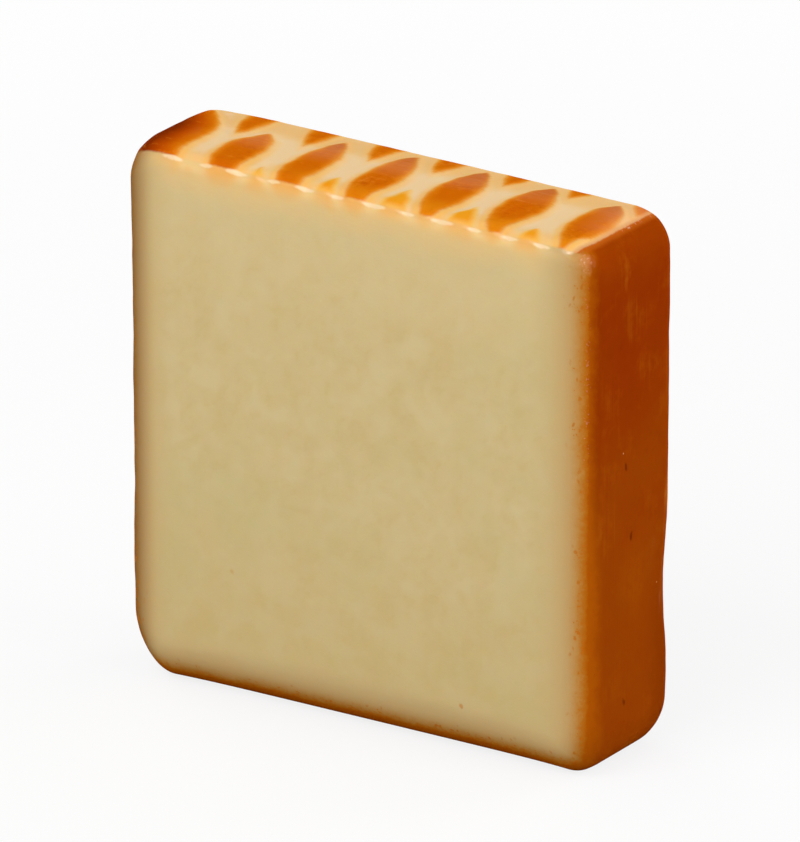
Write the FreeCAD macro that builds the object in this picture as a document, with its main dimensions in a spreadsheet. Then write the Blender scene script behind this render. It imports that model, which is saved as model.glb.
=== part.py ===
# Slab of smoked gruyere: half of a square loaf, standing upright on one narrow rind side.
#
# The broad flat face that the knife left looks along -Y and the broad rind face along +Y.
# X is the slab's width, Y its depth (half of the loaf's own height) and Z its height.
# The origin is the middle of the slab's footprint, on the surface that it stands on.
# All sizes are in millimetres.
import FreeCAD, Part

import math
import os

import Sketcher

NODE = "cheese_slab"

# Driving dimensions: name, value, meaning.
SIZES = [
    ("slab_width", 160.0, "left side to right side"),
    ("slab_height", 166.0, "base to top"),
    ("slab_depth", 48.2, "cut face to rind face"),
    ("corner_top_right", 9.0, "rounding of the loaf's corner, top right"),
    ("corner_top_left", 12.0, "the same, top left"),
    ("corner_base_left", 13.0, "the same, base left"),
    ("corner_base_right", 9.5, "the same, base right"),
    ("hollow_left", 0.8, "how far the left side sinks in between its corners"),
    ("hollow_right", 0.6, "the same, right side"),
    ("cut_rim", 3.0, "rounding of the rim round the cut face"),
    ("rind_rim", 7.0, "rounding of the rim round the rind face"),
    ("rim_margin", 0.5, "least amount by which a corner's rounding exceeds its rim's"),
]

CORNERS = ("top_right", "top_left", "base_left", "base_right")

# An edge this near to a plane, in millimetres, lies in it.
IN_PLANE = 1e-5

# Which end of a sketch curve a constraint takes hold of.
START = 1
END = 2
CENTRE = 3
ORIGIN = (-1, START)


def add_sheet(doc):
    """Spreadsheet with one named cell for each driving dimension."""
    sheet = doc.addObject("Spreadsheet::Sheet", "Sizes")
    for row, (name, value, meaning) in enumerate(SIZES, start=1):
        sheet.set(f"A{row}", name)
        sheet.set(f"B{row}", str(value))
        sheet.set(f"C{row}", meaning)
        sheet.setAlias(f"B{row}", name)
    doc.recompute()
    return sheet


def origin_plane(body, role):
    """One of the body's own origin planes."""
    return next(plane for plane in body.Origin.OriginFeatures if plane.Role == role)


def add_arc(sketch, x, z, radius, first, last):
    """Arc about (x, z), counter-clockwise from the first angle to the last."""
    circle = Part.Circle(FreeCAD.Vector(x, z, 0), FreeCAD.Vector(0, 0, 1), radius)
    return sketch.addGeometry(Part.ArcOfCircle(circle, first, last))


def bind(sketch, kind, geometry, value, formula):
    """Add a dimension to the sketch and tie it to the sheet."""
    index = sketch.addConstraint(Sketcher.Constraint(kind, *geometry, value))
    sketch.setExpression(f"Constraints[{index}]", formula)


def join(sketch, first, first_end, second, second_end):
    """Make one curve's end meet another's smoothly."""
    sketch.addConstraint(Sketcher.Constraint("Tangent", first, first_end, second, second_end))


def hollow_formula(side):
    """Radius of the shallow arc that sinks by the side's hollow between its two corners."""
    upper = f"Sizes.corner_top_{side}"
    lower = f"Sizes.corner_base_{side}"
    sink = f"Sizes.hollow_{side}"
    half_run = f"(Sizes.slab_height - {upper} - {lower}) / 2"
    return f"(({half_run})^2 + {sink}^2) / (2 * {sink}) - ({upper} + {lower}) / 2"


def add_outline(body, sheet):
    """The slab seen square on to its cut face.

    The base and the top are straight, the two sides are shallow hollow arcs, and each corner
    has its own rounding. The corner arcs reach out to the slab's full width.
    """
    sketch = body.newObject("Sketcher::SketchObject", "Outline")
    sketch.AttachmentSupport = [(origin_plane(body, "XZ_Plane"), "")]
    sketch.MapMode = "FlatFace"

    half = sheet.get("slab_width") / 2
    height = sheet.get("slab_height")
    corner_arc = {}
    hollow_arc = {}
    for side, sign in (("right", 1), ("left", -1)):
        upper = sheet.get(f"corner_top_{side}")
        lower = sheet.get(f"corner_base_{side}")
        sink = sheet.get(f"hollow_{side}")
        half_run = (height - upper - lower) / 2
        reach = (half_run ** 2 + sink ** 2) / (2 * sink)
        lean = math.asin(half_run / reach)
        # Angles are written for the right side and mirrored for the left.
        turns = {
            "top": (-lean, math.pi / 2),
            "base": (-math.pi / 2, lean),
            "hollow": (math.pi - lean, math.pi + lean),
        }
        if sign < 0:
            turns = {name: (math.pi - last, math.pi - first) for name, (first, last) in turns.items()}
        corner_arc[f"top_{side}"] = add_arc(sketch, sign * (half - upper), height - upper, upper, *turns["top"])
        corner_arc[f"base_{side}"] = add_arc(sketch, sign * (half - lower), lower, lower, *turns["base"])
        radius = reach - (upper + lower) / 2
        middle = (height - upper + lower) / 2
        hollow_arc[side] = add_arc(sketch, sign * (half + radius - sink), middle, radius, *turns["hollow"])

    top = sketch.addGeometry(Part.LineSegment(
        sketch.getPoint(corner_arc["top_right"], END), sketch.getPoint(corner_arc["top_left"], START)))
    base = sketch.addGeometry(Part.LineSegment(
        sketch.getPoint(corner_arc["base_left"], END), sketch.getPoint(corner_arc["base_right"], START)))

    join(sketch, corner_arc["top_right"], END, top, START)
    join(sketch, top, END, corner_arc["top_left"], START)
    join(sketch, corner_arc["top_left"], END, hollow_arc["left"], END)
    join(sketch, hollow_arc["left"], START, corner_arc["base_left"], START)
    join(sketch, corner_arc["base_left"], END, base, START)
    join(sketch, base, END, corner_arc["base_right"], START)
    join(sketch, corner_arc["base_right"], END, hollow_arc["right"], END)
    join(sketch, hollow_arc["right"], START, corner_arc["top_right"], START)

    sketch.addConstraint(Sketcher.Constraint("Horizontal", top))
    sketch.addConstraint(Sketcher.Constraint("Horizontal", base))
    sketch.addConstraint(Sketcher.Constraint("PointOnObject", base, START, -1))
    bind(sketch, "DistanceY", (*ORIGIN, top, START), height, "Sizes.slab_height")
    for corner in CORNERS:
        arc = corner_arc[corner]
        value = sheet.get(f"corner_{corner}")
        inset = f"Sizes.slab_width / 2 - Sizes.corner_{corner}"
        ends = (*ORIGIN, arc, CENTRE) if corner.endswith("right") else (arc, CENTRE, *ORIGIN)
        bind(sketch, "Radius", (arc,), value, f"Sizes.corner_{corner}")
        bind(sketch, "DistanceX", ends, half - value, inset)
    for side, arc in hollow_arc.items():
        radius = sketch.Geometry[arc].Radius
        bind(sketch, "Radius", (arc,), radius, hollow_formula(side))
    return sketch


def rim_edges(feature, y):
    """Names of the feature's edges that lie in the plane at this depth."""
    names = []
    for number, edge in enumerate(feature.Shape.Edges, start=1):
        box = edge.BoundBox
        if abs(box.YMin - y) < IN_PLANE and abs(box.YMax - y) < IN_PLANE:
            names.append(f"Edge{number}")
    return names


def add_rim(doc, body, base, name, y, rim):
    """Round the rim at this depth, always tighter than the corners that it crosses."""
    fillet = body.newObject("PartDesign::Fillet", name)
    fillet.Base = (base, rim_edges(base, y))
    tightest = "; ".join(f"Sizes.corner_{corner}" for corner in CORNERS)
    fillet.setExpression("Radius", f"min(Sizes.{rim}; min({tightest}) - Sizes.rim_margin)")
    body.Tip = fillet
    doc.recompute()
    return fillet


def build_slab(doc, sheet):
    """The whole slab: its outline carried through the depth, with both rims rounded."""
    body = doc.addObject("PartDesign::Body", "Slab")
    body.Label = NODE
    body.Placement = FreeCAD.Placement(FreeCAD.Vector(0, 0, 0), FreeCAD.Rotation())
    outline = add_outline(body, sheet)
    doc.recompute()

    loaf = body.newObject("PartDesign::Pad", "Loaf")
    loaf.Profile = outline
    loaf.Midplane = True
    loaf.setExpression("Length", "Sizes.slab_depth")
    body.Tip = loaf
    doc.recompute()

    half_depth = sheet.get("slab_depth") / 2
    rounded = add_rim(doc, body, loaf, "RindRim", half_depth, "rind_rim")
    add_rim(doc, body, rounded, "CutRim", -half_depth, "cut_rim")
    return body


def check_document(doc):
    """Stop if any object of the document failed, or a body has no valid shape."""
    for thing in doc.Objects:
        if "Invalid" in thing.State or "Error" in thing.State:
            raise RuntimeError(f"{thing.Name} failed: {thing.State}")
    for body in doc.findObjects("PartDesign::Body"):
        if body.Shape.isNull() or not body.Shape.isValid():
            raise RuntimeError(f"{body.Label} has no valid shape")


def main():
    doc = FreeCAD.newDocument("CheeseSlab")
    sheet = add_sheet(doc)
    slab = build_slab(doc, sheet)
    check_document(doc)
    os.makedirs("parts", exist_ok=True)
    slab.Shape.exportStep(f"parts/{slab.Label}.step")
    box = slab.Shape.optimalBoundingBox(False, False)
    print(f"{slab.Label}: {len(slab.Shape.Solids)} solid, {slab.Shape.Volume / 1e6:.4f} litres,"
          f" {box.XLength:.2f} x {box.YLength:.2f} x {box.ZLength:.2f} mm")


main()
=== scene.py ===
"""Smoked gruyere slab: the sculpted cheese, its finish and a plain stage."""
import math
import random

import bmesh
import bpy
import numpy as np
from bpy.props import FloatProperty, FloatVectorProperty, IntProperty, PointerProperty
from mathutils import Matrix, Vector, noise


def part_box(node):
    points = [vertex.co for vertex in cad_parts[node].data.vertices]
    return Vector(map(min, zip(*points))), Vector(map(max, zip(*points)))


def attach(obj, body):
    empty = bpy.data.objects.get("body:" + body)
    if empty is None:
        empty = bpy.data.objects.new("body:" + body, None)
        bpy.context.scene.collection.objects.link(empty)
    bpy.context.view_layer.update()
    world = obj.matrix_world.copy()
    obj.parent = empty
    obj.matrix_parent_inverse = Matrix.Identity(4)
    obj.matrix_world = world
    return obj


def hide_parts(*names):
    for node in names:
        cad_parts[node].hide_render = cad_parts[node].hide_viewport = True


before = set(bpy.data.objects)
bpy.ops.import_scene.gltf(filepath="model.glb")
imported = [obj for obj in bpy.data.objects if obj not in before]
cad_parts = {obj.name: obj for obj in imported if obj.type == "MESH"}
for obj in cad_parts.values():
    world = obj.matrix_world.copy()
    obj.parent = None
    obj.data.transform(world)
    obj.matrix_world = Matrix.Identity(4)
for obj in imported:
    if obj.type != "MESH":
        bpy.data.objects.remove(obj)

bl_info = {
    "name": "Smoked Cheese Slab",
    "version": (1, 0, 0),
    "blender": (4, 5, 0),
    "location": "View3D > Sidebar > Cheese",
    "description": "Sculpts and finishes an upright slab of smoked cheese with rack marks on its top",
    "category": "Add Mesh",
}

NODE = "cheese_slab"
PIECE = "smoked_slab"
MM = 0.001
LOW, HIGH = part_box(NODE)
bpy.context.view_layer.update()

WIDTH = HIGH.x - LOW.x
HEIGHT = HIGH.z - LOW.z


def shown(red, green, blue):
    """Linear colour of a surface that shows as these 0 to 255 values in plain light."""
    def linear(value):
        share = value / 255
        return share / 12.92 if share <= 0.04045 else ((share + 0.055) / 1.055) ** 2.4
    return tuple(linear(value) for value in (red, green, blue))


# ---------------------------------------------------------------------------------------------
# Settings
# ---------------------------------------------------------------------------------------------

def length(name, description, default):
    """A size in metres, written in millimetres."""
    return FloatProperty(name=name, description=description, default=default * MM, min=0.0,
                         unit="LENGTH")


def colour(name, description, red, green, blue):
    """A colour, written as the 0 to 255 values that it shows."""
    return FloatVectorProperty(name=name, description=description, subtype="COLOR", size=3,
                               default=shown(red, green, blue), min=0.0, max=1.0)


class SlabSettings(bpy.types.PropertyGroup):
    """Sizes of the sculpted slab."""

    grid: length("Grid", "Spacing of the sculpted surface's points", 1.0)
    top_fall: length("Top fall", "How much lower the top is at its right end", 3.3)
    cut_top_left: length("Cut corner, top left", "Outline rounding at the cut face", 12.8)
    cut_top_right: length("Cut corner, top right", "Outline rounding at the cut face", 5.6)
    cut_base_left: length("Cut corner, base left", "Outline rounding at the cut face", 16.5)
    cut_base_right: length("Cut corner, base right", "Outline rounding at the cut face", 12.3)
    rind_top_left: length("Rind corner, top left", "Outline rounding at the rind face", 8.0)
    rind_top_right: length("Rind corner, top right", "Outline rounding at the rind face", 12.3)
    rind_base_left: length("Rind corner, base left", "Outline rounding at the rind face", 9.8)
    rind_base_right: length("Rind corner, base right", "Outline rounding at the rind face", 9.7)
    corner_blend: length("Corner blend", "Depth over which the outline's rounding changes", 14.0)
    base_rise: FloatProperty(name="Base rise", default=1.47,
                             description="How much taller than wide the base corners are")
    cut_rim_top: length("Cut rim, top", "Rounding between the cut face and the top", 5.2)
    cut_rim_right: length("Cut rim, right", "Rounding between the cut face and the right side", 6.4)
    cut_rim_base: length("Cut rim, base", "Rounding between the cut face and the base", 12.0)
    cut_rim_left: length("Cut rim, left", "Rounding between the cut face and the left side", 6.9)
    rind_rim_top: length("Rind rim, top", "Rounding between the rind face and the top", 8.6)
    rind_rim_right: length("Rind rim, right", "Rounding between the rind face and the right side", 7.9)
    rind_rim_base: length("Rind rim, base", "Rounding between the rind face and the base", 15.5)
    rind_rim_left: length("Rind rim, left", "Rounding between the rind face and the left side", 15.0)
    hollow_left: length("Left hollow", "How far the left side sinks in between its corners", 0.5)
    hollow_right: length("Right hollow", "How far the right side sinks in between its corners", 0.0)
    dent: length("Side dent", "Depth of the shallow dent low on the right side", 1.5)
    dent_height: length("Dent height", "Height of the middle of the side dent", 50.0)
    dent_reach: length("Dent reach", "How far the side dent reaches up and down", 19.0)
    swell: length("Mark swell", "How far the rack marks stand out of the top", 0.75)
    unevenness: length("Unevenness", "Slow waves over the whole rind", 0.3)
    face_waves: length("Face waves", "Slow waves over the cut face", 0.1)


class RackSettings(bpy.types.PropertyGroup):
    """The smoking rack's mesh, as it marked the top."""

    turn: FloatProperty(name="Turn", description="How far the rack lay turned on the top",
                        default=math.radians(5.0), subtype="ANGLE")
    column_pitch: length("Column pitch", "Spacing of the marks across the slab", 22.95)
    row_pitch: length("Row pitch", "Spacing of every second row through the slab", 59.0)
    half_width: length("Half width", "Half the width of a mark", 5.9)
    back_reach: length("Back reach", "From a mark's widest place to its back tip", 12.5)
    middle_reach: length("Middle reach", "How much further back the marks in the middle reach", 9.0)
    front_reach: length("Front reach", "From a middle mark's widest place to its front tip", 23.0)
    far_reach: length("Far reach", "From a back mark's widest place to its front tip", 19.0)
    column_shift: length("Column shift", "Distance of the middle row from the slab's middle", 1.8)
    row_shift: length("Row shift", "How far the middle row lies in front of the slab's middle", 6.0)
    squeeze: FloatProperty(name="Squeeze", description="How much closer the marks stand along the back",
                           default=0.94)
    mark_strength: length("Mark strength", "How far inside its edge a mark reaches its full colour", 3.0)
    seed: IntProperty(name="Seed", description="Varies the marks", default=4)


class FinishSettings(bpy.types.PropertyGroup):
    """Colours of the cheese, with some painted light, shade and sheen among them."""

    core: colour("Core", "Paste in the middle of the cut face", 206, 184, 133)
    curd: colour("Curd", "Paler grains of curd in the paste", 209, 191, 145)
    vein: colour("Vein", "Joins between the grains of curd", 199, 171, 114)
    dull: colour("Dull patches", "Broad duller patches of the paste", 198, 182, 128)
    # Painted light: paste made lighter towards the top of the cut face, where more light falls from above.
    upper_paste_light: colour("Warm paste", "Paste in the upper part of the cut face", 213, 190, 139)
    amber: colour("Amber paste", "Paste just under the top", 233, 193, 128)
    halo: colour("Halo", "Paste just under a rack mark", 232, 160, 62)
    # Painted shade: paste made darker in the lower part of the cut face.
    low_paste_shade: colour("Low paste", "Paste in the lower part of the cut face", 197, 171, 112)
    # Painted shade: paste darkened where the cut face rounds away to the left.
    left_edge_shade: colour("Left edge", "Paste where it turns over to the left side", 116, 74, 34)
    dot: colour("Dots", "Small flecks in the paste beside the skin", 184, 104, 24)
    stray: colour("Stray flecks", "Few flecks further in", 194, 132, 58)
    grit: colour("Grit", "Few dark specks in the paste", 96, 70, 40)
    fray: colour("Fray", "Ragged edge of the skin on the cut face", 190, 104, 20)
    fringe: colour("Fringe", "Orange line under the skin", 176, 96, 12)

    rind: colour("Rind", "Smoked skin", 144, 60, 3)
    rind_dark: colour("Dark rind", "Smoked skin where the smoke settled most", 138, 45, 2)
    rind_light: colour("Light rind", "Smoked skin where it is thinner", 170, 84, 12)
    rind_cloud: colour("Clouded rind", "Small darker clouds in the skin", 128, 44, 2)
    rind_warm: colour("Warm rind", "Broad warmer patches of the skin", 158, 76, 6)
    mottle_light: colour("Light mottle", "Lighter blotches of the skin", 166, 78, 6)
    mottle_dark: colour("Dark mottle", "Darker blotches of the skin", 124, 36, 1)
    smear: colour("Smears", "Thin honey-coloured smears on the skin", 190, 104, 20)
    rind_low: colour("Low rind", "Skin low on the side near the rind face", 118, 40, 2)
    rind_high: colour("High rind", "Skin just under the top", 150, 61, 2)
    rind_young: colour("Young rind", "Skin just behind the cut face", 172, 84, 5)
    pit: colour("Pits", "Small dark pits in the skin", 98, 30, 2)
    speck: colour("Specks", "Small pale specks on the skin", 226, 168, 116)
    scuff: colour("Scuffs", "Upright scuffs on the skin", 196, 128, 88)
    bloom: colour("Bloom", "Pale scuffs and crumbs along the right rim", 224, 186, 150)
    chafe: colour("Chafe", "Worn skin at the top right corner", 214, 154, 110)
    notch: colour("Notches", "Dark nicks along the right rim", 118, 38, 2)
    ledge: colour("Ledge", "Skin just below the top's right end", 182, 88, 20)

    cream: colour("Cream", "Skin that the rack's metal covered", 232, 197, 148)
    honey: colour("Honey", "The same, towards the front and back edges", 234, 188, 120)
    cream_back: colour("Back cream", "The same, on the back half", 228, 179, 116)
    cream_light: colour("Light cream", "The same, where it is palest", 236, 206, 164)
    cream_warm: colour("Warm cream", "The same, close to a rack mark", 236, 176, 84)
    blush: colour("Blush", "Soft edge of a rack mark", 229, 172, 98)
    mark: colour("Mark", "Middle of a rack mark", 206, 102, 4)
    mark_dark: colour("Dark mark", "Smoked end at its darkest", 118, 38, 3)
    mark_thin: colour("Thin mark", "Front end of a rack mark", 223, 132, 14)
    mark_blot: colour("Mark blotches", "Darker blotches in a rack mark", 184, 76, 6)
    mark_glow: colour("Mark lights", "Lighter blotches in a rack mark", 228, 138, 40)
    mark_back: colour("Back of a mark", "Back half of a rack mark", 178, 80, 14)
    dab: colour("Dab", "Small marks along the cut edge", 232, 148, 18)
    dab_edge: colour("Dab edge", "Soft edge of a small mark", 237, 178, 78)
    # Painted sheen: a pale veil over the marks' back halves, standing in for a soft reflection.
    film: colour("Film", "Pale film rubbed on to the marks", 226, 170, 124)
    # Real fine scratches, painted pale as sheen catching in them on the top's back half.
    scratch_sheen: colour("Scratches", "Fine scratches along the top", 240, 208, 166)
    rub: colour("Rubbed spots", "Pale rubbed spots on the top", 228, 206, 184)
    # Painted sheen: a pale veil over the back of the top near its right end.
    sheen_haze: colour("Haze", "Hazy skin near the top's right end", 224, 172, 132)
    top_end: colour("Top's end", "Skin beside the line that ends the top", 213, 152, 98)
    # Painted highlights: short shining dashes along the cut edge of the top.
    glint: colour("Glints", "Short shining dashes along the cut edge", 242, 212, 168)


class StageSettings(bpy.types.PropertyGroup):
    """Camera, floor and even light."""

    azimuth: FloatProperty(name="Azimuth", description="Camera's turn to the right of the cut face",
                           default=math.radians(33.0), subtype="ANGLE")
    elevation: FloatProperty(name="Elevation", description="Camera's height above the horizon",
                             default=math.radians(20.4), subtype="ANGLE")
    lens: FloatProperty(name="Lens", description="Focal length in millimetres", default=513.0)
    distance: FloatProperty(name="Distance", description="Camera to the aim point", default=3.466,
                            unit="LENGTH")
    aim_across: FloatProperty(name="Aim across", description="Aim point right of the slab's middle",
                              default=0.2 * MM, unit="LENGTH")
    aim_up: FloatProperty(name="Aim up", description="Aim point above the slab's middle",
                          default=5.0 * MM, unit="LENGTH")
    bounce: FloatProperty(name="Bounce", description="Share of the light that the floor sends back",
                          default=0.25)
    ambient: FloatProperty(name="Ambient", description="Strength of the even light", default=0.5)
    mirrored: FloatProperty(name="Mirrored", description="Strength of the even light where it is mirrored",
                            default=0.03)


# ---------------------------------------------------------------------------------------------
# Form
# ---------------------------------------------------------------------------------------------

def smooth(value, low, high):
    """0 below low, 1 above high and an even blend between."""
    share = np.clip((value - low) / (high - low), 0.0, 1.0)
    return share * share * (3 - 2 * share)


def slab_gap(place, form):
    """Distance of each point outside the slab's sculpted skin, negative inside."""
    x, y, z = place.T
    through = smooth(y, LOW.y, LOW.y + form.corner_blend)
    up = np.clip((z - LOW.z) / HEIGHT, 0, 1)
    bow = 1 - (2 * up - 1) ** 2
    low = np.exp(-((z - LOW.z - form.dent_height) / form.dent_reach) ** 2)
    dent_start = -10 * MM
    dent = form.dent * low * smooth(y, dent_start, HIGH.y)
    right = x - (HIGH.x - form.hollow_right * bow - dent)
    left = LOW.x + form.hollow_left * bow - x
    top = z - (HIGH.z - form.top_fall * (x - LOW.x) / WIDTH)
    base = LOW.z - z
    across = np.maximum(right, left)
    along = np.maximum(top, base)

    def corner(cut, rind):
        return cut + (rind - cut) * through

    on_right = right > left
    on_top = top > base
    radius = np.where(
        on_top,
        np.where(on_right, corner(form.cut_top_right, form.rind_top_right),
                 corner(form.cut_top_left, form.rind_top_left)),
        np.where(on_right, corner(form.cut_base_right, form.rind_base_right),
                 corner(form.cut_base_left, form.rind_base_left)))
    in_across = across + radius
    in_along = along / np.where(on_top, 1.0, form.base_rise) + radius
    outline = np.hypot(np.maximum(in_across, 0), np.maximum(in_along, 0)) - radius
    outline += np.minimum(np.maximum(in_across, in_along), 0)

    # The rims' rounding blends from side to side round the corners.
    rim_blend = 9 * MM
    weights = [np.exp(gap / rim_blend) for gap in (top, right, base, left)]

    def rim_radius(*radii):
        return sum(weight * radius for weight, radius in zip(weights, radii)) / sum(weights)

    rim = np.where(
        y < 0,
        rim_radius(form.cut_rim_top, form.cut_rim_right, form.cut_rim_base, form.cut_rim_left),
        rim_radius(form.rind_rim_top, form.rind_rim_right, form.rind_rim_base, form.rind_rim_left))
    face = np.maximum(LOW.y - y, y - HIGH.y)
    gap = np.hypot(np.maximum(outline + rim, 0), np.maximum(face + rim, 0)) - rim
    return gap + np.minimum(np.maximum(outline + rim, face + rim), 0)


def slope(place, form, step=0.05 * MM):
    """Direction in which the gap grows, at each point."""
    result = np.empty_like(place)
    for axis in range(3):
        shift = np.zeros(3)
        shift[axis] = step
        result[:, axis] = (slab_gap(place + shift, form) - slab_gap(place - shift, form)) / (2 * step)
    return result


def waves(place, size, seed):
    """Smooth noise between about -1 and 1, with features of this size."""
    scaled = place / size + seed
    return np.array([noise.noise(Vector(point)) for point in scaled])


def rack_marks(place, form, rack):
    """The rack's pattern on the top and the painted highlight dashes, in millimetres inside each shape,
    and the strength of the painted sheen on the marks.
    """
    x, y, z = place.T
    wander = ((24, 0.6), (9, 0.7), (4, 0.45))
    widths = (0.66, 1.0, 0.86)
    outside, dab_strength, crown = -12 * MM, 1.8 * MM, 1.5 * MM
    pointedness = 2.2

    # Over the top's rims the pattern goes on down the sides.
    over = np.maximum(HIGH.z - form.top_fall * (x - LOW.x) / WIDTH - crown - z, 0)
    across = x + sum(waves(place, size * MM, size) * reach * MM for size, reach in wander)
    through = y + over * np.sign(y) + 0.8 * MM * waves(place, 18 * MM, 8.0)
    u = across * math.cos(rack.turn) + through * math.sin(rack.turn)
    v = through * math.cos(rack.turn) - across * math.sin(rack.turn)
    draw = random.Random(rack.seed)
    mark, dab, glint = (np.full_like(u, outside) for _ in range(3))
    film = np.zeros_like(u)

    # Row -1 holds the dabs along the cut edge, row 0 the middle marks and row 1 the back ones.
    for row in (-1, 0, 1):
        middle = row * rack.row_pitch / 2 - rack.row_shift
        squeeze = rack.squeeze if row == 1 else 1.0
        for column in range(-4, 4):
            centre = ((column + 0.5 * row) * rack.column_pitch - rack.column_shift) * squeeze
            centre += draw.uniform(-0.4, 0.4) * MM
            centred = 1 - min(abs(centre) / HIGH.x, 1.0) ** 2
            half = rack.half_width * draw.uniform(0.95, 1.1) * widths[row + 1]
            back = rack.back_reach + centred ** 2 * rack.middle_reach + draw.uniform(-1.2, 1.2) * MM
            front = (rack.far_reach if row == 1 else rack.front_reach) + draw.uniform(-1.2, 1.2) * MM
            aside = u - centre
            along = v - middle
            share = np.where(along > 0, along / back, -along / front)
            inside = half * (1 - share ** pointedness) - np.abs(aside)
            if row < 0:
                dab = np.maximum(dab, np.minimum(inside, dab_strength))
            else:
                mark = np.maximum(mark, np.minimum(inside, rack.mark_strength))
            # Painted highlights: a short shining dash just right of each dab and middle mark, along the
            # cut edge.
            if row < 1:
                half_dash = (3.2 + row * 1.1 + draw.uniform(-0.8, 0.6)) * MM
                dash_middle = (5.4 + draw.uniform(-0.6, 1.0)) * MM
                glint = np.maximum(glint, half_dash - np.abs(aside - dash_middle))
            # Painted sheen: a pale veil over the back half of each middle mark.
            if row == 0:
                rubbed = smooth(inside, -1.0 * MM, 1.0 * MM) * smooth(along, -1 * MM, 11 * MM)
                film = np.maximum(film, rubbed)

    # The smoked left end, which draws back towards the rind face.
    end_width, end_recess, recess_start, recess_length = 17.8 * MM, 9 * MM, -5 * MM, 17 * MM
    recede = end_recess * (np.maximum(y - recess_start, 0) / recess_length) ** 2
    smoked_end = LOW.x + end_width - recede - across
    return {
        "mark": np.maximum(mark, smoked_end) / MM,
        "dab": dab / MM,
        "glint": glint / MM,
        "film": film,
    }


def curd_grains(place):
    """Lightness of the curd: soft blotches parted by thin joins, about -1 to 1."""
    bend = [waves(place, 9 * MM, seed) for seed in (11.0, 12.0, 13.0)]
    bent = place + np.stack(bend, axis=1) * 1.8 * MM

    def blotch(seed):
        return np.tanh(2.4 * (waves(bent, 12 * MM, seed) + 0.8 * waves(bent, 6 * MM, seed + 1)
                              + 0.5 * waves(bent, 3 * MM, seed + 2)))

    first, second = blotch(21.0), blotch(27.0)
    join = 1 - np.abs(waves(bent, 5 * MM, 33.0) + 0.4 * waves(bent, 2.5 * MM, 34.0)) / 0.14
    return 0.45 * first + 0.4 * second - 0.5 * np.maximum(join, 0) * (first < 0.2)


def skin_patterns(place, form, rack):
    """The patterns that the finish reads, one value for each point."""
    clouds = ((15, 1.1), (7, 0.6), (3.5, 0.35))
    return {
        **rack_marks(place, form, rack),
        "cloud": sum(waves(place, size * MM, 30.0 + size) * share for size, share in clouds),
        "broad": waves(place, 40 * MM, 4.0) * 1.3 + waves(place, 18 * MM, 6.0) * 0.5,
        "curd": curd_grains(place),
    }


def relief(place, normal, patterns, form):
    """How far the skin stands out of the sculpted form, in metres."""
    on_top = smooth(normal[:, 2], 0.2, 0.7) * smooth(place[:, 2], HIGH.z - 8 * MM, HIGH.z - 4 * MM)
    on_cut = smooth(-normal[:, 1], 0.5, 0.95)
    on_base = smooth(-normal[:, 2], 0.4, 0.9)

    # The marks stand out and the skin between them sinks, down to the same height at the back.
    inside = smooth(np.maximum(patterns["mark"], patterns["dab"]), -3.0, 1.4)
    inside *= smooth(place[:, 1], HIGH.y - 4 * MM, HIGH.y - 16 * MM)
    level = 0.6
    swell = form.swell * (inside - level) * on_top
    slow = waves(place, 26 * MM, 3.0) + 0.5 * waves(place, 11 * MM, 9.0)
    face = waves(place, 30 * MM, 5.0) + 0.4 * waves(place, 9 * MM, 7.0)
    rind = form.unevenness * slow * (1 - on_cut) * (1 - on_base) * (1 - 0.6 * on_top)
    fine_height = 0.06 * MM
    fine = fine_height * waves(place, 3.5 * MM, 2.0) * (1 - 0.6 * on_cut) * (1 - on_base)
    return swell + rind + form.face_waves * face * on_cut + fine


def sculpted_slab(form, rack):
    """A new mesh object: an even skin over the CAD slab, moved on to the sculpted form."""
    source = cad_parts[NODE]
    shell = bmesh.new()
    shell.from_mesh(source.data)
    merge_distance = 0.01 * MM
    bmesh.ops.remove_doubles(shell, verts=shell.verts, dist=merge_distance)
    mesh = bpy.data.meshes.new(PIECE)
    shell.to_mesh(mesh)
    shell.free()
    slab = bpy.data.objects.new(PIECE, mesh)
    bpy.context.scene.collection.objects.link(slab)
    remesh = slab.modifiers.new("Even skin", "REMESH")
    remesh.mode = "VOXEL"
    remesh.voxel_size = form.grid
    remesh.use_smooth_shade = True
    depsgraph = bpy.context.evaluated_depsgraph_get()
    even = bpy.data.meshes.new_from_object(slab.evaluated_get(depsgraph))
    slab.modifiers.clear()
    slab.data = even
    even.name = PIECE
    bpy.data.meshes.remove(mesh)

    place = np.empty(len(even.vertices) * 3)
    even.vertices.foreach_get("co", place)
    place = place.reshape(-1, 3)
    settling_steps, least_slope = 5, 0.2
    for _ in range(settling_steps):
        away = slope(place, form)
        away /= np.maximum(np.einsum("ij,ij->i", away, away), least_slope)[:, None]
        place = place - slab_gap(place, form)[:, None] * away
    normal = slope(place, form)
    normal /= np.linalg.norm(normal, axis=1)[:, None]
    patterns = skin_patterns(place, form, rack)
    place = place + relief(place, normal, patterns, form)[:, None] * normal
    place = np.clip(place, np.array(LOW), np.array(HIGH))
    even.vertices.foreach_set("co", place.ravel())
    for name, values in patterns.items():
        even.attributes.new(name, "FLOAT", "POINT").data.foreach_set("value", values)
    even.update()
    even.shade_smooth()
    return slab


# ---------------------------------------------------------------------------------------------
# Finish
# ---------------------------------------------------------------------------------------------

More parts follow.
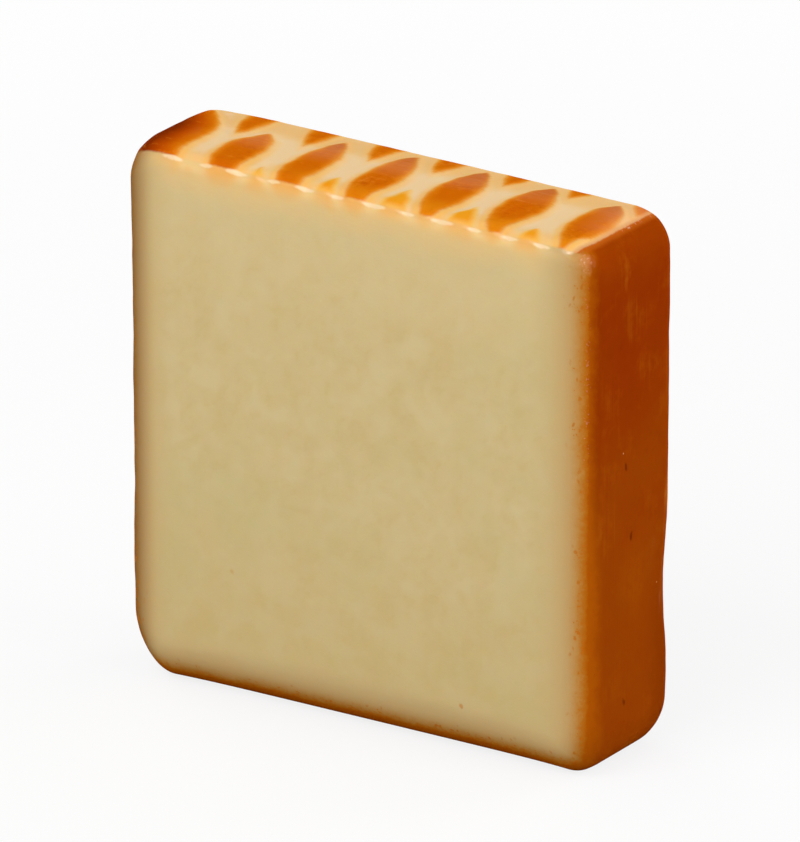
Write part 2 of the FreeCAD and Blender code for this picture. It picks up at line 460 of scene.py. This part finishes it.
class Signal:
    """An output socket of a shader graph that can be used in arithmetic."""

    def __init__(self, graph, socket):
        self.graph = graph
        self.socket = socket

    def _math(self, operation, *values):
        return self.graph.node("ShaderNodeMath", {"operation": operation}, dict(enumerate(values)))

    def __add__(self, other):
        return self._math("ADD", self, other)

    def __radd__(self, other):
        return self._math("ADD", other, self)

    def __sub__(self, other):
        return self._math("SUBTRACT", self, other)

    def __rsub__(self, other):
        return self._math("SUBTRACT", other, self)

    def __mul__(self, other):
        return self._math("MULTIPLY", self, other)

    def __rmul__(self, other):
        return self._math("MULTIPLY", other, self)

    def __truediv__(self, other):
        return self._math("DIVIDE", self, other)

    def __pow__(self, other):
        return self._math("POWER", self, other)

    def __abs__(self):
        return self._math("ABSOLUTE", self)

    def least(self, other):
        """The smaller of the two."""
        return self._math("MINIMUM", self, other)

    def most(self, other):
        """The larger of the two."""
        return self._math("MAXIMUM", self, other)

    def rise(self, low, high):
        """0 at low, 1 at high and an even blend between; low may be the larger."""
        return self.graph.node("ShaderNodeMapRange", {"interpolation_type": "SMOOTHSTEP"},
                               {"Value": self, "From Min": low, "From Max": high})


class Graph:
    """The node tree of a new material, or of the world."""

    def __init__(self, name, world=None):
        self.owner = world or bpy.data.materials.new(name)
        self.owner.use_nodes = True
        self.tree = self.owner.node_tree
        self.tree.nodes.clear()

    def node(self, kind, settings=None, inputs=None, output=0):
        """Add a node, set it up, connect its inputs and return one of its outputs."""
        made = self.tree.nodes.new(kind)
        for name, value in (settings or {}).items():
            if name == "stops":
                self._set_stops(made.color_ramp, value)
            else:
                setattr(made, name, value)
        for name, value in (inputs or {}).items():
            socket = made.inputs[name]
            if isinstance(value, Signal):
                self.tree.links.new(value.socket, socket)
            elif socket.type == "RGBA":
                socket.default_value = (*value, 1.0)
            else:
                socket.default_value = value
        return Signal(self, made.outputs[output]) if made.outputs else None

    @staticmethod
    def _set_stops(ramp, stops):
        while len(ramp.elements) < len(stops):
            ramp.elements.new(1.0)
        for element, (position, shade) in zip(ramp.elements, stops):
            element.position = position
            element.color = (*shade, 1.0)

    def ramp(self, value, stops):
        """Colours along a value; each stop is a place on it and a colour."""
        low, high = stops[0][0], stops[-1][0]
        share = self.node("ShaderNodeMapRange", None,
                          {"Value": value, "From Min": low, "From Max": high})
        shares = [((position - low) / (high - low), shade) for position, shade in stops]
        return self.node("ShaderNodeValToRGB", {"stops": shares}, {"Fac": share})

    def mix(self, first, second, share):
        """Blend two colours."""
        return self.node("ShaderNodeMix", {"data_type": "RGBA"}, {0: share, 6: first, 7: second},
                         output=2)

    def grain(self, place, size, seed=0.0, detail=2.0, stretch=(1.0, 1.0, 1.0), roughness=0.5):
        """Noise between about -1 and 1, with features of this size in millimetres."""
        scale = tuple(1 / (size * part) for part in stretch)
        moved = self.node("ShaderNodeMapping", {"vector_type": "POINT"},
                          {"Vector": place, "Location": (seed, seed * 1.7, -seed), "Scale": scale})
        value = self.node("ShaderNodeTexNoise", {"noise_dimensions": "3D"},
                          {"Vector": moved, "Scale": 1.0, "Detail": detail, "Roughness": roughness})
        middle, gain = 0.5, 2.5
        return (value - middle) * gain

    def cells(self, place, size, seed=0.0, stretch=(1.0, 1.0, 1.0)):
        """Distance to the middle of the nearest of scattered cells, in cells of this size."""
        scale = tuple(1 / (size * part) for part in stretch)
        moved = self.node("ShaderNodeMapping", {"vector_type": "POINT"},
                          {"Vector": place, "Location": (seed, -seed, seed * 0.6), "Scale": scale})
        return self.node("ShaderNodeTexVoronoi", {"feature": "F1"}, {"Vector": moved, "Scale": 1.0},
                         output="Distance")

    def pattern(self, name):
        """One of the patterns that the mesh carries."""
        return self.node("ShaderNodeAttribute", {"attribute_name": name}, output="Fac")

    def warped(self, place, size, reach):
        """A place moved about by noise, so that cells get uneven outlines."""
        shift = self.node("ShaderNodeTexNoise", {"noise_dimensions": "3D"},
                          {"Vector": place, "Scale": 1 / size, "Detail": 1.0}, "Color")
        centred = self.node("ShaderNodeVectorMath", {"operation": "SUBTRACT"},
                            {0: shift, 1: (0.5, 0.5, 0.5)})
        scaled = self.node("ShaderNodeVectorMath", {"operation": "SCALE"},
                           {0: centred, "Scale": reach * 2})
        return self.node("ShaderNodeVectorMath", {"operation": "ADD"}, {0: place, 1: scaled})


class Surroundings:
    """Where a point of the skin lies, in millimetres, seen from each side of the slab."""

    def __init__(self, graph, form):
        coords = graph.node("ShaderNodeTexCoord", output="Object")
        self.place = graph.node("ShaderNodeVectorMath", {"operation": "SCALE"},
                                {0: coords, "Scale": 1 / MM})
        self.x, self.y, self.z = (
            graph.node("ShaderNodeSeparateXYZ", None, {0: self.place}, output=axis) for axis in range(3))
        fall = form.top_fall / WIDTH
        self.from_cut = self.y - LOW.y / MM
        self.from_back = HIGH.y / MM - self.y
        self.from_left = self.x - LOW.x / MM
        self.from_right = HIGH.x / MM - self.x
        self.from_base = self.z - LOW.z / MM
        self.from_top = HIGH.z / MM - self.from_left * fall - self.z
        self.uneven = graph.warped(self.place, 3.0, 1.1)
        self.mark, self.dab, self.glint, self.film = (
            graph.pattern(name) for name in ("mark", "dab", "glint", "film"))
        self.cloud, self.broad, self.curd = (graph.pattern(name) for name in ("cloud", "broad", "curd"))


# Paste that the smoke soaked into, partly painted shade along the base: millimetres across the skin's
# edge, and the colour there.
SOAKED = (
    (-20.0, (204, 181, 130)), (-13.0, (201, 174, 121)), (-9.0, (199, 167, 113)), (-6.5, (195, 158, 102)),
    (-4.5, (190, 144, 82)), (-2.5, (184, 125, 54)), (-0.8, (179, 106, 24)))


def paste_colour(graph, where, seam, finish):
    """The cut face: curd grains, warmer towards the smoked skin."""
    cloud = where.cloud
    paste = graph.mix(finish.core, finish.curd, where.curd.rise(-0.2, 1.0) * 0.6)
    paste = graph.mix(paste, finish.vein, where.curd.rise(0.1, -1.2) * 0.42)
    paste = graph.mix(paste, finish.dull, (where.broad + cloud * 0.5).rise(-0.2, 1.2) * 0.6)

    # Painted light: lighter paste in the upper part of the cut face. Warmth from the skin on the top, more
    # of it under each mark.
    paste = graph.mix(paste, finish.upper_paste_light, (where.from_top + cloud * 5).rise(50, 9) * 0.7)
    paste = graph.mix(paste, finish.amber, (where.from_top + cloud * 1.5).rise(15, 2) * 0.75)
    halo = where.mark.most(where.dab - 1.0).rise(-4.0, 0.5) * (where.from_top + cloud * 1.5).rise(7.5, 0.5)
    paste = graph.mix(paste, finish.halo, halo * 0.7)
    # Painted shade: the cut face grows darker towards the base.
    paste = graph.mix(paste, finish.low_paste_shade, (where.from_base + cloud * 6).rise(75, 5) * 0.45)

    # Smoke that soaked in from the sides and the base; along the base this darkening is partly painted
    # shade under the rounded lower rim.
    stops = [(place, shown(*rgb)) for place, rgb in SOAKED]
    soaked = graph.ramp(seam, [*stops, (1.0, finish.fringe)])
    paste = graph.mix(paste, soaked, seam.rise(-22, -8))
    # Painted shade: the paste darkens where the cut face rounds away to the left.
    paste = graph.mix(paste, finish.left_edge_shade, where.from_left.rise(12.0, 0.5) * 0.8)

    # Scattered flecks beside the skin, and a few light and dark ones further in.
    dots = graph.cells(where.uneven, 2.7, seed=4.0, stretch=(1, 1, 1.6)).rise(0.25, 0.1)
    dots = dots * (seam + cloud * 3).rise(-8, -3)
    paste = graph.mix(paste, finish.dot, dots * 0.8)
    rare = graph.cells(where.uneven, 26, seed=7.0)
    paste = graph.mix(paste, finish.stray, rare.rise(0.04, 0.02) * where.from_base.rise(60, 20) * 0.7)
    return graph.mix(paste, finish.grit, rare.rise(0.012, 0.006) * where.from_base.rise(60, 90) * 0.8)


def rind_colour(graph, where, seam, streaks, ragged, finish):
    """Smoked skin of the sides, the back and the base."""
    cloud, broad = where.cloud, where.broad
    smoke = (broad * 0.5 + (where.from_base - 70) / 60).rise(-0.2, 1.1)
    rind = graph.mix(finish.rind, finish.rind_dark, smoke)
    rind = graph.mix(rind, finish.rind_cloud, cloud.rise(0.2, 1.4) * 0.35)

    # Fine upright streaks, blotches and a few thin smears.
    rind = graph.mix(rind, finish.rind_light, (streaks + cloud * 0.8).rise(0.3, 1.8) * 0.45)
    rind = graph.mix(rind, finish.rind_warm, (broad - cloud * 0.6).rise(0.2, 1.2) * 0.4)
    mottle = cloud * 0.6 + ragged * 0.55
    rind = graph.mix(rind, finish.mottle_light, mottle.rise(0.0, 1.2) * 0.45)
    rind = graph.mix(rind, finish.mottle_dark, mottle.rise(-0.1, -1.2) * 0.4)
    smear = graph.cells(where.uneven, 30, seed=3.4, stretch=(0.5, 0.5, 1.6))
    smear = smear + cloud * 0.05 + streaks * 0.04
    rind = graph.mix(rind, finish.smear, smear.rise(0.17, 0.03) * 0.5)
    low_back = where.from_back.rise(22, 3) * where.from_base.rise(75, 25)
    rind = graph.mix(rind, finish.rind_low, low_back * 0.6)
    rind = graph.mix(rind, finish.rind_high, (where.from_top + cloud * 4).rise(22, 2) * 0.6)

    # Small pits, pale specks and upright scuffs towards the back rim.
    pit = graph.cells(where.uneven, 19, seed=18.0, stretch=(0.7, 0.7, 1.3))
    rind = graph.mix(rind, finish.pit, pit.rise(0.08, 0.03) * 0.8)
    speck = graph.cells(where.place, 8, seed=19.0)
    rind = graph.mix(rind, finish.speck, speck.rise(0.045, 0.02) * 0.8)
    scuff = (streaks + cloud * 0.5).rise(-0.2, -1.3) * (broad - cloud * 0.3).rise(-0.1, 0.8)
    back_rim = where.from_back.rise(16, 4) * (where.from_right.rise(26, 10) * 0.45 + 0.15)
    rind = graph.mix(rind, finish.scuff, scuff * back_rim)
    young = (where.from_base + broad * 20).rise(96, 60)
    grown = (seam + (1 - young) * 2.4 + cloud * 0.8).rise(1.2, 9.0)
    return graph.mix(finish.rind_young, rind, grown)


def top_colour(graph, where, fibre, ragged, fine, finish):
    """The top: pale where the rack's metal lay, smoked in its openings."""
    cloud = where.cloud
    soft = where.mark + fibre * 0.2 + ragged * 0.2 + cloud * 0.2
    pale = graph.mix(finish.cream, finish.honey, (abs(where.y + 5.0) + cloud * 3).rise(8, 17))
    pale = graph.mix(pale, finish.cream_back, (where.y + cloud * 3).rise(2, 12) * 0.85)
    pale = graph.mix(pale, finish.cream_light, (cloud - soft * 0.15).rise(0.9, 1.8) * 0.6)
    pale = graph.mix(pale, finish.cream_warm, soft.rise(-3.6, -0.6) * (0.3 + where.y.rise(2, -14) * 0.5))

    # Colours from outside a mark to its middle, and on to the smoked end's darkest place.
    smoked = graph.ramp(soft, [
        (-1.4, shown(234, 186, 116)), (-0.5, finish.blush), (0.3, shown(223, 142, 48)),
        (1.1, shown(214, 116, 16)), (2.2, finish.mark), (3.4, shown(198, 92, 4)),
        (5.5, shown(182, 74, 2)), (8.0, shown(158, 58, 2)), (11.0, finish.mark_dark)])
    top = graph.mix(pale, smoked, soft.rise(-1.5, -0.1))
    thin = (where.y + cloud * 2).rise(-11, -23) * soft.rise(0.0, 1.5) * where.from_left.rise(22, 110)
    top = graph.mix(top, finish.mark_thin, thin * 0.8)
    spot = where.dab + ragged * 0.25 + cloud * 0.5
    top = graph.mix(top, finish.dab_edge, spot.rise(-2.2, -0.2) * 0.85)
    top = graph.mix(top, finish.dab, spot.rise(-1.2, 1.2) * where.from_cut.rise(0.6, 3.4) * 0.95)

    # Blotches in the marks; painted sheen as a pale veil over their back halves, with darker skin under
    # it; and fine scratches along the slab, painted pale as sheen.
    blot = (cloud * 0.4 + ragged * 0.9 + fibre * 0.3).rise(0.0, 1.2) * soft.rise(0.5, 1.8)
    top = graph.mix(top, finish.mark_blot, blot * 0.7)
    glow = (cloud * 0.3 - ragged * 0.8 + fibre * 0.5).rise(0.1, 1.2) * soft.rise(0.2, 1.2)
    top = graph.mix(top, finish.mark_glow, glow * 0.6)
    film = where.film * where.from_left.rise(10, 20)
    top = graph.mix(top, finish.mark_back, film * (where.y + cloud * 2).rise(0, 12) * 0.8)
    top = graph.mix(top, finish.film, film * (0.15 + fibre * 0.08 + cloud * 0.05))
    # Painted sheen: pale scratch lines on the back half of the top.
    scratch_sheen = (fibre + cloud * 0.4).rise(0.7, 1.5) * where.y.rise(-2, 12)
    top = graph.mix(top, finish.scratch_sheen, scratch_sheen * 0.35)

    # Rubbed spots behind the middle, and painted sheen as a pale veil towards the right end.
    rub = (ragged * 0.6 + fine * 0.5).rise(0.4, 0.9) * abs(where.y - 8).rise(9, 3) * cloud.rise(0.2, 1.0)
    top = graph.mix(top, finish.rub, rub * 0.6)
    hazy_sheen = where.from_right.rise(18, 7) * where.y.rise(-14, 2) * (0.5 + ragged * 0.35 + cloud * 0.2)
    return graph.mix(top, finish.sheen_haze, hazy_sheen * (0.3 + soft.rise(1.0, -1.0) * 0.4))


def cheese_material(form, finish):
    """Pale paste on the cut face, smoked skin on the other sides, rack marks on the top."""
    graph = Graph("smoked_cheese")
    where = Surroundings(graph, form)
    cloud = where.cloud
    ragged = graph.grain(where.place, 2.4, seed=1.0, detail=2.0, roughness=0.62)
    fine = graph.grain(where.place, 0.8, seed=9.0, detail=1.0)
    streaks = graph.grain(where.place, 0.9, seed=6.0, detail=1.0, stretch=(1, 1, 34))
    fibre = graph.grain(where.place, 0.8, seed=7.0, detail=1.0, stretch=(10, 1, 1))

    # Where the skin begins: a signed distance across its edge, negative on the paste. Further in
    # than the cap only the depth counts, so the whole rind face is skin.
    to_left = where.from_left + 0.6 + where.from_base * 0.012
    side = (where.from_right - 0.4).least(to_left).least(where.from_base - 0.7)
    cap = 24.0
    seam = where.from_cut - side.least(cap)
    rough_seam = seam + (ragged * 1.4 + cloud * 0.7 + fine * 0.5) * seam.rise(-9, 0)
    frayed = (ragged * 0.7 + fine * 0.7 + cloud * 0.25 + seam * 0.09).rise(0.05, 0.3)

    paste = paste_colour(graph, where, rough_seam, finish)
    paste = graph.mix(paste, finish.fray, frayed * seam.rise(-10, -6) * 0.8)
    rind = rind_colour(graph, where, rough_seam, streaks, ragged, finish)
    top = top_colour(graph, where, fibre, ragged, fine, finish)

    # The top's skin ends at a crisp line near its right end, in the smoked patch at its left
    # end and a little way down the rind face.
    to_right = where.from_right - 4.0 - where.from_top + ragged * 0.35
    to_side = (where.from_left + 1.0 - where.from_top).least(to_right)
    to_back = where.from_back - where.from_top
    on_top = to_side.rise(-0.5, 0.5) * (to_back + ragged * 2).rise(-16, -9)
    top = graph.mix(top, finish.top_end, to_right.rise(2.4, 0.5) * 0.85)
    high = where.from_top.rise(16, 10)
    rind = graph.mix(rind, finish.ledge, to_right.rise(-3.6, -0.2) * high * 0.95)
    skin = graph.mix(rind, top, on_top)

    near_top = (where.from_cut - where.from_top + ragged * 0.4).rise(-0.9, 0.6) * (to_side + 3).rise(0, 3)
    near_side = rough_seam.rise(-0.6, 1.2)
    look = graph.mix(paste, skin, near_top.most(near_side))

    # Crumbly white scuffs on the upper part of the right rim and along its top.
    rim = abs(seam + 0.2).rise(2.2, 0.5) * where.from_right.rise(9, 5) * where.from_base.rise(60, 110)
    ledge = abs(to_right).rise(2.0, 0.3) * (where.y + cloud * 8).rise(-8, 16) * high
    corner = where.from_right + where.from_cut * 1.3 + where.from_top * 0.7 + ragged * 2.4 + cloud - 7.0
    crumbly = (ragged * 0.7 + fine * 0.8).rise(0.15, 0.9) * (0.5 + cloud * 0.9)
    look = graph.mix(look, finish.chafe, corner.rise(2.5, -2.5) * 0.45)
    flap = corner.rise(2.2, 0.0) * (fine * 0.8 + ragged * 0.5).rise(0.0, 0.9)
    notch = (ragged * 0.8 - fine * 0.5).rise(0.35, 0.9) * abs(seam - 3.0).rise(2.5, 1.0)
    look = graph.mix(look, finish.notch, notch * where.from_right.rise(9, 5) * 0.5)
    scuffed = (rim.most(ledge) * crumbly).most(flap).most(0.0)
    look = graph.mix(look, finish.bloom, scuffed * 0.8)

    # Painted highlights: short pale dashes along the cut edge of the top, where the coat also makes the
    # skin glossy.
    rim_line = abs(where.from_cut - where.from_top + 0.9 + ragged * 0.25)
    rim_line = rim_line + where.from_cut.rise(3.5, 5.0) * 4
    along_edge = to_side.rise(0, 2) * where.from_left.rise(5, 14)
    dash = (where.glint + 0.6).most(0.0) ** 0.5 * 0.55
    glint = (dash + ragged * 0.25 - rim_line).rise(-0.4, 0.5) * where.glint.rise(-0.8, 0.8)
    look = graph.mix(look, finish.glint, glint * along_edge * 0.75)
    coat = rim_line.rise(1.6, 0.8) * along_edge * 0.6
    gloss = 0.47 + ragged * 0.05 + near_side * 0.05 + scuffed * 0.2 - near_top * 0.05

    height = streaks * 0.03 + fine * 0.025
    bump = graph.node("ShaderNodeBump", None, {"Strength": 0.7, "Distance": MM, "Height": height})
    shader = graph.node("ShaderNodeBsdfPrincipled", {"subsurface_method": "RANDOM_WALK"}, {
        "Base Color": look, "Roughness": gloss, "Coat Weight": coat, "Coat Roughness": 0.25,
        "Specular IOR Level": 0.0, "IOR": 1.45, "Subsurface Weight": 0.4,
        "Subsurface Radius": (1.0, 0.45, 0.2), "Subsurface Scale": 2.0 * MM, "Normal": bump})
    graph.node("ShaderNodeOutputMaterial", None, {"Surface": shader})
    return graph.owner


# ---------------------------------------------------------------------------------------------
# Stage
# ---------------------------------------------------------------------------------------------

FLOOR_SIZE = 6.0
LAMP_DISTANCE = 1.7

# Each softbox's name, azimuth and elevation in degrees, size in metres and power in watts.
# Azimuth 0 is in front of the cut face.
SOFTBOXES = (
    ("key", -12, 50, 0.8, 10.0),
    ("front", 5, 8, 1.0, 14.0),
    ("side", 95, 12, 0.9, 12.5),
    ("left", -120, 10, 0.9, 10.0),
    ("back", 150, 12, 0.8, 11.0),
)


def add_floor(bounce):
    """A wide pale floor that keeps a faint shadow and sends little light back up."""
    sheet = bmesh.new()
    bmesh.ops.create_grid(sheet, x_segments=1, y_segments=1, size=FLOOR_SIZE)
    mesh = bpy.data.meshes.new("floor")
    sheet.to_mesh(mesh)
    sheet.free()
    floor = bpy.data.objects.new("floor", mesh)
    bpy.context.scene.collection.objects.link(floor)
    graph = Graph("floor")
    seen = graph.node("ShaderNodeLightPath", output="Is Camera Ray")
    place = graph.node("ShaderNodeTexCoord", output="Object")
    away = graph.node("ShaderNodeVectorMath", {"operation": "LENGTH"}, {0: place}, output="Value")
    pale = 0.85
    matte = graph.node("ShaderNodeBsdfDiffuse", None,
                       {"Color": graph.mix((bounce,) * 3, (pale,) * 3, seen)})
    white = graph.node("ShaderNodeEmission", None, {"Color": (1, 1, 1), "Strength": 1.0})

    # White from a metre away, and a little less near the slab, where the shadow shows.
    near_white = 0.82
    whiteness = near_white + away.rise(0.3, 1.0) * (1 - near_white)
    surface = graph.node("ShaderNodeMixShader", None, {0: seen * whiteness, 1: matte, 2: white})
    graph.node("ShaderNodeOutputMaterial", None, {"Surface": surface})
    mesh.materials.append(graph.owner)


def add_world(ambient, mirrored):
    """Even light from all round, dimmer where it is mirrored and white to the camera."""
    world = bpy.data.worlds.new("studio")
    bpy.context.scene.world = world
    graph = Graph("studio", world)
    path = graph.node("ShaderNodeLightPath", output="Is Glossy Ray")
    level = ambient + path * (mirrored - ambient)
    light = graph.node("ShaderNodeBackground", None, {"Color": (1, 1, 1), "Strength": level})
    white = graph.node("ShaderNodeBackground", None, {"Color": (1, 1, 1), "Strength": 1.0})
    seen = graph.node("ShaderNodeLightPath", output="Is Camera Ray")
    graph.node("ShaderNodeOutputWorld", None,
               {"Surface": graph.node("ShaderNodeMixShader", None, {0: seen, 1: light, 2: white})})


def outward(turn, rise):
    """Direction away from the slab, turned to its right from the cut face and raised."""
    level = math.cos(rise)
    return Vector((math.sin(turn) * level, -math.cos(turn) * level, math.sin(rise)))


def add_softbox(name, azimuth, elevation, size, watts):
    """A square area light that faces the slab."""
    lamp = bpy.data.lights.new(name, "AREA")
    lamp.shape = "SQUARE"
    lamp.size = size
    lamp.energy = watts
    box = bpy.data.objects.new(name, lamp)
    bpy.context.scene.collection.objects.link(box)
    away = outward(math.radians(azimuth), math.radians(elevation))
    box.location = Vector((0, 0, HEIGHT / 2)) + away * LAMP_DISTANCE
    box.rotation_euler = away.to_track_quat("Z", "Y").to_euler()


def add_camera(stage):
    """A long lens that looks down on the cut face from its right."""
    away = outward(stage.azimuth, stage.elevation)
    right = Vector((math.cos(stage.azimuth), math.sin(stage.azimuth), 0))
    up = away.cross(right)
    lens = bpy.data.cameras.new("camera")
    lens.lens = stage.lens
    lens.sensor_width = 36.0
    lens.clip_end = 50.0
    camera = bpy.data.objects.new("camera", lens)
    bpy.context.scene.collection.objects.link(camera)
    aim = Vector((0, 0, HEIGHT / 2)) + right * stage.aim_across + up * stage.aim_up
    camera.location = aim + away * stage.distance
    camera.rotation_euler = away.to_track_quat("Z", "Y").to_euler()
    bpy.context.scene.camera = camera


# ---------------------------------------------------------------------------------------------
# Operators, panel and registration
# ---------------------------------------------------------------------------------------------

class CHEESE_OT_slab(bpy.types.Operator):
    """Sculpt the slab and give it its finish"""

    bl_idname = "cheese.slab"
    bl_label = "Smoked Slab"

    def execute(self, context):
        scene = context.scene
        slab = sculpted_slab(scene.cheese_slab, scene.cheese_rack)
        slab.data.materials.clear()
        slab.data.materials.append(cheese_material(scene.cheese_slab, scene.cheese_finish))
        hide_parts(NODE)
        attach(slab, "root")
        return {"FINISHED"}


class CHEESE_OT_stage(bpy.types.Operator):
    """Set up the floor, the lights and the camera"""

    bl_idname = "cheese.stage"
    bl_label = "Plain Stage"

    def execute(self, context):
        stage = context.scene.cheese_stage
        add_floor(stage.bounce)
        add_world(stage.ambient, stage.mirrored)
        for softbox in SOFTBOXES:
            add_softbox(*softbox)
        add_camera(stage)
        context.scene.view_settings.view_transform = "Standard"
        return {"FINISHED"}


class CHEESE_PT_panel(bpy.types.Panel):
    """Sidebar panel with the settings and the operators"""

    bl_idname = "CHEESE_PT_panel"
    bl_label = "Smoked Cheese"
    bl_space_type = "VIEW_3D"
    bl_region_type = "UI"
    bl_category = "Cheese"

    def draw(self, context):
        layout = self.layout
        for settings, operator in (("cheese_slab", "cheese.slab"), ("cheese_rack", None),
                                   ("cheese_finish", None), ("cheese_stage", "cheese.stage")):
            group = getattr(context.scene, settings)
            box = layout.box()
            for name in group.bl_rna.properties.keys():
                if name not in {"rna_type", "name"}:
                    box.prop(group, name)
            if operator:
                box.operator(operator)


SETTINGS = {
    "cheese_slab": SlabSettings,
    "cheese_rack": RackSettings,
    "cheese_finish": FinishSettings,
    "cheese_stage": StageSettings,
}
CLASSES = (*SETTINGS.values(), CHEESE_OT_slab, CHEESE_OT_stage, CHEESE_PT_panel)


def register():
    for cls in CLASSES:
        bpy.utils.register_class(cls)
    for name, group in SETTINGS.items():
        setattr(bpy.types.Scene, name, PointerProperty(type=group))


def unregister():
    for name in SETTINGS:
        delattr(bpy.types.Scene, name)
    for cls in reversed(CLASSES):
        bpy.utils.unregister_class(cls)


def main():
    register()
    bpy.ops.cheese.slab()
    bpy.ops.cheese.stage()


if __name__ == "__main__":
    main()
